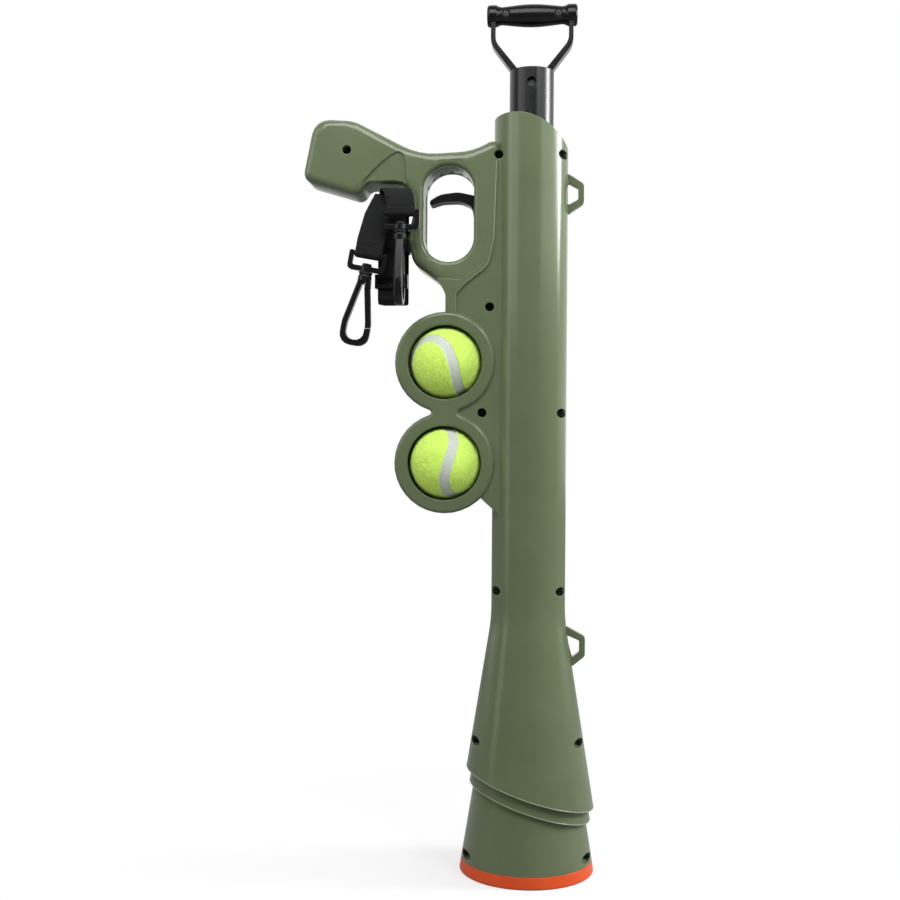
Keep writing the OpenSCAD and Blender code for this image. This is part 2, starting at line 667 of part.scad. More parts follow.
// Lever with a curved finger blade, a tail along the column and an arm up into the sear
blade_pts = [for (q = [[5, -4.5, 4], [5, 5, 4], [-6, 13, 6], [-24, 17, 24], [-40, 15, 20], [-49, 9.5, 3],
    [-49, 5, 2], [-38, 8.5, 20], [-22, 9, 18], [-11.5, 4, 8], [-7.5, -24, 2], [-3.5, -24, 2], [-2, -6, 3]])
    [pin_x + q.x, pin_z + q.y, q[2]]];
arm_t = 4;
arm_d = 6;
arm_slack = 0.45;
module trigger() color("black") difference() {
    union() {
        prism(blade_pts, -blade_d / 2, blade_d / 2);
        prism([[pin_x - arm_t / 2, pin_z, 0], [pin_x + arm_t / 2, pin_z, 0],
            [pin_x + arm_t / 2, sear_z + sear_t, 1.5], [pin_x - arm_t / 2, sear_z + sear_t, 1.5]],
            -arm_d / 2, arm_d / 2);
    }
    bar_y(pin_x, pin_z, pin_r + fit / 2, -big / 2, big / 2);
}
module trigger_pin() color("silver") bar_y(pin_x, pin_z, pin_r, -pin_y + fit, pin_y - fit);

// Return spring wound round the trigger pin, with one leg up the arm and one down the column
coil_y = blade_d / 2 + 0.7;
coil_r = pin_r + 1.2;
coil_turns = 3;
coil_pitch = 1.2;
coil_pts = concat([[pin_x + coil_r, coil_y, pin_z + 13], [pin_x + coil_r, coil_y, pin_z + 5]],
    [for (k = [0 : coil_turns * curl_rings]) let (f = k / curl_rings)
        [pin_x + coil_r * cos(360 * f), coil_y + coil_pitch * f, pin_z - coil_r * sin(360 * f)]],
    [[pin_x + coil_r, coil_y + coil_pitch * coil_turns, pin_z - 5],
        [pin_x + coil_r, coil_y + coil_pitch * coil_turns, pin_z - 15]]);
module trigger_spring() color("silver") wire(coil_pts, 0.45, wire_sides);

// Plate that slides across the tube and catches its notch
module sear_outline(r) {
    circle(r);
    translate([-sear_pull - clear, 0]) circle(r);
    translate([-sear_pull - clear, -r]) square([sear_pull + clear, 2 * r]);
}
module sear_form() difference() {
    tongue_x = pin_x - arm_t / 2 - 3.2;
    union() {
        sear_outline(bore_r - sear_pull - 0.8);
        translate([tongue_x, -tongue_w / 2]) square([-tongue_x - tube_r - 7, tongue_w]);
    }
    sear_outline(tube_r + clear);
    translate([pin_x - arm_t / 2 - arm_slack, -arm_d / 2 - clear])
        square([arm_t + 2 * arm_slack, arm_d + 2 * clear]);
}
module sear_plate() color("silver") translate([0, 0, sear_z - sear_t / 2]) linear_extrude(sear_t) sear_form();

module tennis_ball(z) color("yellowgreen") translate([holder_x, -ball_out, z]) sphere(ball_r);
module tennis_ball_upper() tennis_ball(ball_top_z);
module tennis_ball_lower() tennis_ball(ball_z);

// Carrying strap, doubled and folded into a hank beside the guard, with both ends in front
web_pitch = web_t + web_gap;
slider_room = 3.5;
hank_x = guard_x - 3.6 - web_w / 2;
hank_y = -15.5;
hank_top = open_z1 - 31.5;
hank_low = hank_top - web_run;
run_y = [for (k = [0 : web_runs - 1]) hank_y + 2 * web_pitch * k + (k > 0 ? slider_room : 0)];
fold_steps = 6;
function fold_path(s) = concat([[hank_x, run_y[0] + s, hank_top]],
    [for (k = [0 : web_runs - 2], j = [0 : fold_steps])
        let (low = k % 2 == 0, r = (run_y[k + 1] - run_y[k]) / 2 - (low ? s : -s), f = 180 * j / fold_steps,
             y = (run_y[k + 1] + run_y[k]) / 2 - r * cos(f), rise = r * sin(f))
        [hank_x, y, low ? hank_low - rise : hank_top + rise]],
    [[hank_x, run_y[web_runs - 1] - s, hank_top]]);
function turned(P) = [for (i = [len(P) - 1 : -1 : 0]) P[i]];
// Strap ends: each goes round the bar of a hook's eye and back up
loop_r = 3.3;
front = [0, -1, 0];
function end_loop(c, down, lead, back) = concat([c + loop_r * front - lead * down],
    [for (j = [0 : fold_steps]) let (f = 180 * j / fold_steps) c + loop_r * (cos(f) * front + sin(f) * down)],
    [c - loop_r * front - back * down]);
hook_tilt = 10;
left_down = [-sin(hook_tilt), 0, -cos(hook_tilt)];
left_bar = [hank_x - 18.5, -28, hank_top - 48];
right_bar = [hank_x + 9.5, -38, hank_top - 13];
left_tail = concat([for (q = [[-0.5, -18.2, 3.4], [-1.5, -20.7, 4.3], [-3, -23.2, 2.6], [-5.5, -25, -3],
    [-11, -28, -15]]) [hank_x + q.x, q.y, hank_top + q.z]], end_loop(left_bar, left_down, 12, 13));
right_tail = concat([for (q = [[0.3, -14.5, 5], [0.8, -16.6, 8.2], [2.5, -22, 9.8], [5, -30, 9],
    [7.5, -37, 5.5], [9, -40.3, 1]]) [hank_x + q.x, q.y, hank_top + q.z]],
    end_loop(right_bar, [0, 0, -1], 9, 10));
turn_back = [for (j = [1 : fold_steps - 1]) let (f = 180 * j / fold_steps)
    [hank_x, run_y[web_runs - 1] + web_pitch / 2 * cos(f), hank_top + web_pitch / 2 * sin(f)]];
strap_pts = concat(turned(left_tail), fold_path(-web_pitch / 2), turn_back,
    turned(fold_path(web_pitch / 2)), right_tail);
function along(P, i) = unit(P[min(i + 1, len(P) - 1)] - P[max(i - 1, 0)]);
function band_ring(P, i) = let (t = along(P, i),
    g = i < fold_steps + 3 ? [cos(hook_tilt), 0, -sin(hook_tilt)] : [1, 0, 0],
    w = unit(g - (g * t) * t) * web_w / 2, n = unit(cross(t, w)) * web_t / 2)
    [P[i] + w + n, P[i] - w + n, P[i] - w - n, P[i] + w - n];
module strap() color("black") loft([for (i = [0 : len(strap_pts) - 1]) band_ring(strap_pts, i)]);
// Length of the strap and its least gap to itself, past a stretch that is simply its own bend
function run_lengths(P, i = 0, sum = 0, out = []) = i == len(P) ? out
    : let (s = i == 0 ? 0 : sum + norm(P[i] - P[i - 1])) run_lengths(P, i + 1, s, concat(out, [s]));
strap_lengths = run_lengths(strap_pts);
own_bend = 10;
strap_gap = min([for (i = [0 : len(strap_pts) - 1], j = [i + 1 : 1 : len(strap_pts) - 1])
    if (strap_lengths[j] - strap_lengths[i] > own_bend) norm(strap_pts[i] - strap_pts[j])]) - web_t;
spring_gap = norm(spring_pts[curl_rings] - spring_pts[0]) - spring_wire;
echo(strap_length = strap_lengths[len(strap_pts) - 1], strap_gap = strap_gap, spring_gap = spring_gap);

// Upright rectangular loop round a stack of runs
module keeper(y0, y1, z, h, t) translate([0, 0, z]) linear_extrude(h) difference() {
    polygon(rounded([[hank_x - web_w / 2 - t, y0 - t, t], [hank_x + web_w / 2 + t, y0 - t, t],
        [hank_x + web_w / 2 + t, y1 + t, t], [hank_x - web_w / 2 - t, y1 + t, t]]));
    translate([hank_x - web_w / 2 - clear, y0 - clear]) square([web_w + 2 * clear, y1 - y0 + 2 * clear]);
}
run_half = (web_pitch + web_t) / 2;
tie_h = 12;
tie_t = 1.5;
slider_h = 12;
slider_rail = 3;
slider_t = 2.4;
module strap_band() color("black")
    keeper(run_y[0] - run_half, run_y[web_runs - 1] + run_half, hank_low + web_run / 2, tie_h, tie_t);
module strap_slider() color("black") {
    z = hank_low + 8;
    y0 = run_y[0] - run_half;
    y1 = run_y[0] + run_half;
    keeper(y0, y1, z, slider_rail, slider_t);
    keeper(y0, y1, z + slider_h - slider_rail, slider_rail, slider_t);
    for (v = [-1, 1]) translate([hank_x + v * (web_w / 2 + 1.4) - 1, y0 - 2, z])
        cube([2, y1 - y0 + 4, slider_h]);
}

// Swivel hook, hanging from the bar of its eye at the origin
hook_bar_r = 2;
hook_half = 3.5;
hook_band = 5;
hook_w = 13;
hook_low = -80;
stem_r = 2.5;
stem_run = 0.1;
collar_r = 6;
eye_half = 2.2;
eye_low = -15;
eye_floor = -10.5;
hook_pts = [[5, -21, 3], [-5, -21, 3], [-hook_w, -60, 30], [-hook_w, hook_low, 12.5],
    [hook_w, hook_low, 12.5], [hook_w, -60, 30]];
gate_pin = [4.5, -28.5];
gate_l = 35;
gate_gap = 0.7;
gate_x = 1.6;
gate_top = -25.5;
module hook_eye() {
    x1 = web_w / 2 + 1;
    x2 = x1 + 4;
    translate([-x2 + 1, 0, 0]) rotate([0, 90, 0]) cylinder(h = 2 * x2 - 2, r = hook_bar_r);
    difference() {
        union() {
            prism([[-x2, eye_half, 1.5], [-x2, eye_low, 4], [x2, eye_low, 4], [x2, eye_half, 1.5],
                [x1, eye_half, 0.5], [x1, eye_floor, 2], [-x1, eye_floor, 2], [-x1, eye_half, 0.5]],
                -eye_half, eye_half);
            translate([0, 0, eye_low]) cylinder(h = eye_floor - eye_low, r = collar_r - 0.5);
        }
        translate([0, 0, eye_low - 1]) cylinder(h = eye_floor - eye_low + 2, r = stem_r + stem_run);
    }
}
module gate_zone(d) difference() {
    bar_y(gate_pin.x, gate_pin.y, gate_l + d, -10, 10);
    translate([gate_x - d - big, -big / 2, -big / 2]) cube(big);
    translate([-big / 2, -big / 2, gate_top + 1.6 * d]) cube(big);
}
module hook_loop(half) difference() {
    slab(hook_pts, half, 1.5);
    prism(inset(hook_pts, hook_band), -10, 10);
}
module hook_body() {
    rotate_extrude() polygon(rounded([[0, -8, 0], [0, -24, 0], [collar_r, -24, 1], [collar_r, -19, 1],
        [collar_r - 1, -18, 1], [collar_r, -17, 1], [collar_r, eye_low - clear, 1],
        [stem_r, eye_low - clear, 0], [stem_r, eye_floor + clear, 0], [stem_r + 1.7, eye_floor + clear, 0.5],
        [stem_r + 1.7, -8, 1]]));
    difference() {
        hook_loop(hook_half);
        gate_zone(gate_gap);
    }
}
module hook_gate() intersection() {
    hook_loop(hook_half - 0.4);
    gate_zone(0);
}
module at_left() translate(left_bar) rotate([0, hook_tilt, 0]) children();
module at_right() translate(right_bar) children();
module hook_eye_left() color("black") at_left() hook_eye();
module hook_left() color("black") at_left() hook_body();
module hook_gate_left() color("black") at_left() hook_gate();
module hook_eye_right() color("black") at_right() hook_eye();
module hook_right() color("black") at_right() rotate([0, 0, 90]) hook_body();
module hook_gate_right() color("black") at_right() rotate([0, 0, 90]) hook_gate();

front_shell();
rear_shell();
muzzle_ring();
shell_screws();
spring_seat();
rear_guide();
front_bumper();
ball_retainer();
plunger_tube();
plunger_head();
head_pin();
main_spring();
handle_yoke();
handle_grip_front();
handle_grip_rear();
grip_screws();
yoke_screw();
trigger();
trigger_pin();
trigger_spring();
sear_plate();
tennis_ball_upper();
tennis_ball_lower();
strap();
strap_band();
strap_slider();
hook_eye_left();
hook_left();
hook_gate_left();
hook_eye_right();
hook_right();
hook_gate_right();
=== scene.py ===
"""Looks of a hand-held dog tennis ball launcher that stands on its muzzle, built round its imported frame.

Metres throughout. X runs across the barrel away from the grip, Y away from the viewer, Z up the barrel axis.
"""
import json

import bmesh
import bpy
import numpy as np
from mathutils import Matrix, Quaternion, Vector


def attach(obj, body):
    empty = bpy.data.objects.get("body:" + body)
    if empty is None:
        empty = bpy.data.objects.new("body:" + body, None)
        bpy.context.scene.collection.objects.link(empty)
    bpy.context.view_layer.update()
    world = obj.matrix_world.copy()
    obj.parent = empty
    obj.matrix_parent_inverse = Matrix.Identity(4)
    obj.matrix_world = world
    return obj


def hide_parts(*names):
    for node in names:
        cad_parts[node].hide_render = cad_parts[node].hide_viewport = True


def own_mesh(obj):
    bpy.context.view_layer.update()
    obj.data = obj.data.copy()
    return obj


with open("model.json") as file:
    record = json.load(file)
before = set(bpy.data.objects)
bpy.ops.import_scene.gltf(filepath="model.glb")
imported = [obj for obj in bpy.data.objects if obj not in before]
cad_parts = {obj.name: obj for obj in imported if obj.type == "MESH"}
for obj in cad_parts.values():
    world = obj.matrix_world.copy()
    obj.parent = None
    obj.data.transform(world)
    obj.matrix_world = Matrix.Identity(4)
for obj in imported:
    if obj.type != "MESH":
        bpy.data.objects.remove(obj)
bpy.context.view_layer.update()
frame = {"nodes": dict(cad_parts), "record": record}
nodes = frame["nodes"]
MM = 0.001


# Materials: one node tree per finish

class Finish:
    """A material with one Principled shader and short calls for its nodes."""

    def __init__(self, name, **sockets):
        self.material = bpy.data.materials.new(name)
        self.material.use_nodes = True
        self.tree = self.material.node_tree
        self.shader = self.tree.nodes["Principled BSDF"]
        for socket, value in sockets.items():
            self.shader.inputs[socket.replace("_", " ")].default_value = value

    def node(self, kind, inputs=(), **settings):
        made = self.tree.nodes.new("ShaderNode" + kind)
        for key, value in settings.items():
            setattr(made, key, value)
        for key, value in dict(inputs).items():
            if isinstance(value, bpy.types.NodeSocket):
                self.tree.links.new(value, made.inputs[key])
            else:
                made.inputs[key].default_value = value
        return made

    def place(self, uv=False):
        return self.node("TexCoord").outputs["UV" if uv else "Object"]

    def stretched(self, vector, scale):
        return self.node("Mapping", {"Vector": vector, "Scale": scale}).outputs["Vector"]

    def noise(self, vector, scale, detail=3.0, rough=0.55):
        made = self.node("TexNoise", {"Vector": vector, "Scale": scale, "Detail": detail, "Roughness": rough})
        return made.outputs["Fac"]

    def ramp(self, value, *stops):
        made = self.node("ValToRGB", {"Fac": value})
        band = made.color_ramp
        while len(band.elements) < len(stops):
            band.elements.new(0.5)
        for element, (at, colour) in zip(band.elements, stops):
            element.position = at
            element.color = (*colour, 1.0)
        return made.outputs["Color"]

    def span(self, value, low, high, from_low=0.0, from_high=1.0):
        made = self.node("MapRange", {"Value": value, "From Min": from_low, "From Max": from_high,
                                      "To Min": low, "To Max": high})
        return made.outputs["Result"]

    def math(self, operation, a, b=0.0):
        return self.node("Math", {0: a, 1: b}, operation=operation).outputs["Value"]

    def mix(self, factor, a, b):
        made = self.node("Mix", data_type="RGBA")
        for index, value in ((0, factor), (6, a), (7, b)):
            if isinstance(value, bpy.types.NodeSocket):
                self.tree.links.new(value, made.inputs[index])
            else:
                made.inputs[index].default_value = value if index == 0 else (*value, 1.0)
        return made.outputs[2]

    def into(self, socket, output):
        self.tree.links.new(output, self.shader.inputs[socket])

    def relief(self, height, depth, strength=1.0, edge=0.0):
        """Bump of a height between 0 and 1, depth metres deep, over edges rounded by the radius edge."""
        inputs = {"Height": height, "Distance": depth, "Strength": strength}
        if edge:
            inputs["Normal"] = self.node("Bevel", {"Radius": edge}, samples=6).outputs["Normal"]
        self.into("Normal", self.node("Bump", inputs).outputs["Normal"])


def moulded(name, dark, light, rough, grain, edge, shine=0.5):
    """Moulded plastic: cloudy colour, roughness in patches with fine scuffs, pimpled grain and softened edges.

    grain is the depth of the pimples and edge the radius of the softening, in metres.
    shine is the specular level."""
    finish = Finish(name, Specular_IOR_Level=shine)
    at = finish.place()
    cloud = finish.noise(at, 22.0, 4.0)
    finish.into("Base Color", finish.ramp(cloud, (0.3, dark), (0.7, light)))
    patch = finish.noise(at, 95.0, 5.0, 0.65)
    scuff = finish.noise(finish.stretched(at, (1.0, 1.0, 0.06)), 700.0, 3.0, 0.6)
    wear = finish.math("ADD", finish.span(patch, -0.03, 0.03, 0.3, 0.7),
                       finish.span(scuff, 0.0, 0.03, 0.55, 0.75))
    finish.into("Roughness", finish.math("ADD", wear, rough))
    finish.relief(finish.noise(at, 1500.0, 2.0), grain, 0.5, edge)
    return finish.material


def metal(name, colour, rough, drawn):
    """Steel with fine drawn streaks along the axis that drawn stretches."""
    finish = Finish(name, Metallic=1.0)
    streak = finish.noise(finish.stretched(finish.place(), drawn), 900.0, 3.0)
    finish.into("Base Color", finish.ramp(streak, (0.3, tuple(0.75 * c for c in colour)), (0.7, colour)))
    finish.into("Roughness", finish.span(streak, rough - 0.08, rough + 0.08, 0.3, 0.7))
    finish.relief(streak, 0.00003, 0.4)
    return finish.material


olive = moulded("olive_plastic", (0.104, 0.134, 0.069), (0.119, 0.150, 0.080), 0.20, 0.00002, 0.0010, 0.45)
orange = moulded("orange_plastic", (0.62, 0.070, 0.015), (0.70, 0.088, 0.020), 0.30, 0.00004, 0.0010, 0.3)
# Lighter olive for edge rounds and beads: a painted highlight along the edges that wear it.
olive_painted_highlight = moulded("olive_painted_highlight", (0.215, 0.260, 0.160), (0.240, 0.285, 0.180), 0.14, 0.00001, 0.0003, 0.6)
tube_black = moulded("tube_plastic", (0.0035, 0.004, 0.0042), (0.005, 0.0056, 0.006),
                     0.25, 0.00001, 0.0006, 0.4)
handle_black = moulded("handle_plastic", (0.0032, 0.0036, 0.0038), (0.005, 0.0055, 0.0058),
                       0.22, 0.00005, 0.0010, 0.25)
trigger_black = moulded("trigger_plastic", (0.0035, 0.004, 0.004), (0.006, 0.0065, 0.0065),
                        0.24, 0.00003, 0.0010, 0.30)
hook_black = moulded("hook_plastic", (0.004, 0.0045, 0.005), (0.0065, 0.007, 0.0078),
                     0.22, 0.00003, 0.0007, 0.30)
bush_grey = moulded("bush_plastic", (0.075, 0.078, 0.072), (0.095, 0.098, 0.090), 0.42, 0.00004, 0.0006)
rubber = moulded("bumper_rubber", (0.010, 0.010, 0.010), (0.016, 0.016, 0.015), 0.72, 0.00010, 0.0008, 0.3)
black_steel = metal("screw_steel", (0.055, 0.055, 0.058), 0.42, (1.0, 0.1, 1.0))
bright_steel = metal("spring_steel", (0.52, 0.52, 0.54), 0.30, (1.0, 1.0, 0.1))


# Surfaces from arrays

def lay(name, grids, wrap=(False, False), uv=None, values=None, ends=False):
    """Mesh over one or more grids of points: rows follow the first parameter, columns the second.

    wrap joins the last row or column to the first, uv gives a coordinate for every row and column with the
    joined one repeated, values are named numbers for each point, and ends closes the first and last row."""
    points, faces, marks, base = [], [], [], 0
    for grid in grids:
        rows, columns = grid.shape[:2]
        index = base + np.arange(rows * columns).reshape(rows, columns)
        base += rows * columns
        first, last = index[0], index[-1]
        index = np.vstack([index, index[:1]]) if wrap[0] else index
        index = np.hstack([index, index[:, :1]]) if wrap[1] else index
        quads = np.stack([index[:-1, :-1], index[:-1, 1:], index[1:, 1:], index[1:, :-1]], -1)
        faces += quads.reshape(-1, 4).tolist()
        if uv is not None:
            marks.append(np.stack([uv[:-1, :-1], uv[:-1, 1:], uv[1:, 1:], uv[1:, :-1]], 2).reshape(-1, 2))
        if ends:
            faces += [first[::-1].tolist(), last.tolist()]
            marks += [np.zeros((2 * columns, 2))]
        points.append(grid.reshape(-1, 3))
    mesh = bpy.data.meshes.new(name)
    mesh.from_pydata(np.concatenate(points), [], faces)
    if uv is not None:
        layer = mesh.uv_layers.new(name="along")
        layer.data.foreach_set("uv", np.concatenate(marks).astype(np.float32).ravel())
    for key, numbers in (values or {}).items():
        store = mesh.attributes.new(key, "FLOAT", "POINT")
        store.data.foreach_set("value", numbers.astype(np.float32))
    return settle(mesh)


def settle(mesh, angle=40.0):
    """Joins points that meet, turns the faces outwards and shades all but sharp edges smooth."""
    work = bmesh.new()
    work.from_mesh(mesh)
    bmesh.ops.remove_doubles(work, verts=work.verts, dist=1e-7)
    bmesh.ops.recalc_face_normals(work, faces=work.faces)
    work.to_mesh(mesh)
    work.free()
    mesh.polygons.foreach_set("use_smooth", np.ones(len(mesh.polygons), bool))
    mesh.set_sharp_from_angle(angle=np.radians(angle))
    return mesh


body_of = {node: body for body, members in frame["record"]["behaviour"]["bodies"].items() for node in members}


def put(name, mesh, material, node, replace=True):
    """Object for a mesh that stands for a node and hides it, or rides beside it, on that node's body with the
    given material.
    """
    mesh.materials.clear()
    mesh.materials.append(material)
    piece = bpy.data.objects.new(name, mesh)
    bpy.context.scene.collection.objects.link(piece)
    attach(piece, body_of[node])
    if replace:
        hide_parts(node)
    return piece


def unit(vectors):
    """Vectors scaled to length one."""
    return vectors / np.linalg.norm(vectors, axis=-1, keepdims=True)


def carried(path, profile, across):
    """Profile (columns: across, outwards) carried along a path.

    across is the wanted side direction at each point."""
    ahead = unit(np.gradient(path, axis=0))
    side = unit(across - (across * ahead).sum(1, keepdims=True) * ahead)
    out = np.cross(ahead, side)
    return path[:, None] + profile[None, :, :1] * side[:, None] + profile[None, :, 1:] * out[:, None]


def wire(path, radius, sides=10):
    """Round wire: a circle carried along a path."""
    turn = np.linspace(0, 2 * np.pi, sides, endpoint=False)
    profile = radius * np.stack([np.cos(turn), np.sin(turn)], 1)
    ahead = unit(np.gradient(path, axis=0))
    lean = np.where(np.abs(ahead[:, 2:]) < 0.9, np.array([[0.0, 0, 1]]), np.array([[1.0, 0, 0]]))
    return carried(path, profile, np.cross(ahead, lean))


# Balls

BALL_R, SEAM_HALF, SEAM_SINK, NAP = 31.5, 4.9, 0.7, 0.9
BALL_SEED, BALL_WAVES = 7, 60
HOLDER_X, BALL_Y, BALL_Z, BALL_STEP = -73.6, -7.0, 358.0, 88.0


def turned(degrees):
    """Rotation by Euler angles about X, then Y, then Z."""
    (a, b, c), (d, e, f) = np.cos(np.radians(degrees)), np.sin(np.radians(degrees))
    about_x = np.array([[1, 0, 0], [0, a, -d], [0, d, a]])
    about_y = np.array([[b, 0, e], [0, 1, 0], [-e, 0, b]])
    about_z = np.array([[c, -f, 0], [f, c, 0], [0, 0, 1]])
    return about_z @ about_y @ about_x


def felt_ball(name, centre, degrees):
    """Ball: six square grids pushed onto a sphere (tangent spacing), sunk along its seam and roughened as nap.

    The seam is the closed curve x = a cos t + b cos 3t, y = a sin t - b sin 3t, z = 2 sqrt(ab) sin 2t."""
    step = np.tan(np.linspace(-np.pi / 4, np.pi / 4, 111))
    u, v = np.meshgrid(step, step, indexing="ij")
    one = np.ones_like(u)
    faces = [unit(np.stack(axes, -1)) for axes in
             ((one, u, v), (-one, v, u), (v, one, u), (u, -one, v), (u, v, one), (v, u, -one))]
    t = np.linspace(0, 2 * np.pi, 480, endpoint=False)
    a, b = 0.75, 0.25
    seam = np.stack([a * np.cos(t) + b * np.cos(3 * t), a * np.sin(t) - b * np.sin(3 * t),
                     2 * np.sqrt(a * b) * np.sin(2 * t)], 1) @ turned(degrees).T
    rng = np.random.default_rng(BALL_SEED)
    waves = unit(rng.normal(size=(BALL_WAVES, 3))) * rng.uniform(18, 70, (BALL_WAVES, 1))
    phase = rng.uniform(0, 2 * np.pi, BALL_WAVES)
    grids, marks = [], []
    for grid in faces:
        way = np.arccos(np.clip((grid.reshape(-1, 3) @ seam.T).max(1), -1, 1)) * BALL_R
        strip = np.clip((SEAM_HALF - way) / 0.9, 0, 1)
        strip = strip * strip * (3 - 2 * strip)
        nap = np.sin(grid.reshape(-1, 3) @ waves.T + phase).mean(1)
        radius = BALL_R + 0.3 - SEAM_SINK * strip + (1 - strip) * NAP * nap
        grids.append((np.asarray(centre) + grid * radius.reshape(*grid.shape[:2], 1)) * MM)
        marks.append(strip)
    return lay(name, grids, values={"seam": np.concatenate(marks)})


def felt():
    """Felt: yellow-green nap in clumps of fibre over a darker ground, and a smoother pale seam."""
    finish = Finish("ball_felt", Sheen_Weight=0.35, Sheen_Roughness=0.6, Specular_IOR_Level=0.15)
    finish.shader.inputs["Sheen Tint"].default_value = (0.85, 1.0, 0.45, 1.0)
    at = finish.place()
    seam = finish.node("Attribute", attribute_name="seam", attribute_type="GEOMETRY").outputs["Fac"]
    clump = finish.noise(at, 420.0, 5.0, 0.7)
    broad = finish.noise(at, 60.0, 3.0, 0.6)
    nap = finish.ramp(clump, (0.32, (0.50, 0.77, 0.09)), (0.5, (0.61, 0.90, 0.14)),
                      (0.72, (0.71, 0.97, 0.22)))
    worn = finish.mix(finish.span(broad, 0.0, 0.30, 0.45, 0.75), nap, (0.44, 0.69, 0.06))
    pale = finish.ramp(finish.noise(at, 700.0, 4.0), (0.3, (0.48, 0.53, 0.47)), (0.7, (0.62, 0.67, 0.62)))
    finish.into("Base Color", finish.mix(seam, worn, pale))
    finish.into("Roughness", finish.span(seam, 0.95, 0.7))
    fibre = finish.math("ADD", finish.noise(at, 1900.0, 3.0, 0.7), clump)
    finish.relief(fibre, 0.0006, 0.7)
    return finish.material


ball_felt = felt()
for end, level, degrees in (("upper", BALL_Z + BALL_STEP, (167.3, 165.0, 14.4)),
                            ("lower", BALL_Z, (-10.1, 17.8, 8.2))):
    node = "tennis_ball_" + end
    put("felt_ball_" + end, felt_ball(node, (HOLDER_X, BALL_Y, level), degrees), ball_felt, node)


# Nodes that keep their shape

HALVES = {"front_shell": 1, "rear_shell": -1}
SMOOTH_ANGLE = 38.0
FINISH_OF = {
    "front_shell": olive, "rear_shell": olive, "muzzle_ring": orange, "shell_screws": black_steel,
    "spring_seat": bush_grey, "rear_guide": bush_grey, "front_bumper": rubber, "ball_retainer": rubber,
    "plunger_tube": tube_black, "plunger_head": bush_grey, "head_pin": bright_steel,
    "handle_yoke": handle_black, "handle_grip_front": handle_black, "handle_grip_rear": handle_black,
    "grip_screws": black_steel, "yoke_screw": black_steel, "trigger": trigger_black,
    "trigger_pin": bright_steel, "sear_plate": bright_steel, "strap_slider": hook_black,
    "hook_eye_left": hook_black, "hook_left": hook_black, "hook_gate_left": hook_black,
    "hook_eye_right": hook_black, "hook_right": hook_black, "hook_gate_right": hook_black}


def shade(mesh):
    """Corner normals of a triangle mesh: the area-weighted mean of the faces round a point within the angle.

    Faces thinner than a few microns have no sure direction, so they take the mean of all round them."""
    corner = np.empty(len(mesh.loops), np.int32)
    mesh.loops.foreach_get("vertex_index", corner)
    co = np.empty(3 * len(mesh.vertices), np.float32)
    mesh.vertices.foreach_get("co", co)
    points = co.reshape(-1, 3).astype(float)[corner.reshape(-1, 3)]
    normal = np.cross(points[:, 1] - points[:, 0], points[:, 2] - points[:, 0])
    area = np.linalg.norm(normal, axis=1)
    longest = np.linalg.norm(points - np.roll(points, 1, axis=1), axis=2).max(1)
    sure = area > 4e-6 * longest
    normal /= np.maximum(area, 1e-20)[:, None]
    order = np.argsort(corner, kind="stable")
    count = np.bincount(corner, minlength=len(mesh.vertices))
    start = np.cumsum(count) - count
    size = count[corner[order]]
    one = np.repeat(order, size)
    step = np.arange(size.sum()) - np.repeat(np.cumsum(size) - size, size)
    other = order[np.repeat(start[corner[order]], size) + step]
    near = (normal[one // 3] * normal[other // 3]).sum(1) > np.cos(np.radians(SMOOTH_ANGLE))
    weight = (area * sure)[other // 3] * (near | ~sure[one // 3])
    total = np.stack([np.bincount(one, weight * normal[other // 3, k], len(corner)) for k in range(3)], 1)
    length = np.linalg.norm(total, axis=1, keepdims=True)
    flat = normal[np.arange(len(corner)) // 3]
    total = np.where(length > 1e-15, total / np.maximum(length, 1e-15), flat)
    mesh.polygons.foreach_set("use_smooth", np.ones(len(mesh.polygons), bool))
    mesh.normals_split_custom_set(total)
    return mesh


def joined(mesh):
    """Joins points that meet and leaves nothing but triangles."""
    work = bmesh.new()
    work.from_mesh(mesh)
    bmesh.ops.remove_doubles(work, verts=work.verts, dist=1e-6)
    bmesh.ops.triangulate(work, faces=work.faces)
    work.to_mesh(mesh)
    work.free()
    return mesh


def carve(mesh, cutter):
    """Mesh less the closed volume of a cutter."""
    pair = [bpy.data.objects.new(name, data) for name, data in (("solid", mesh), ("cutter", cutter))]
    for item in pair:
        bpy.context.scene.collection.objects.link(item)
    cut = pair[0].modifiers.new("cut", "BOOLEAN")
    cut.operation, cut.solver, cut.object = "DIFFERENCE", "EXACT", pair[1]
    settled = pair[0].evaluated_get(bpy.context.evaluated_depsgraph_get())
    rest = bpy.data.meshes.new_from_object(settled)
    for item in pair:
        bpy.data.objects.remove(item)
    return joined(rest)


def smoothed(node, material, cutter=None):
    """Copy of a node with its triangles joined and its curved faces shaded smooth."""
    mesh = joined(nodes[node].data.copy())
    mesh = carve(mesh, cutter) if cutter else mesh
    return put(node + "_finish", shade(mesh), material, node)


FACE_Y = 23.0
LEAF_TIP = np.array([-113.5, 629.2])
LEAF_ALONG, LEAF_OVER = np.array([-0.398, -0.917]), np.array([0.917, -0.398])
LEAF_L, LEAF_HALF, LEAF_HALF_AT, LEAF_POWER = 36.6, 17.6, 30.0, 0.62
LEAF_SLANT, LEAF_DEPTH, LEAF_SINK = 1.3, 1.2, 0.027


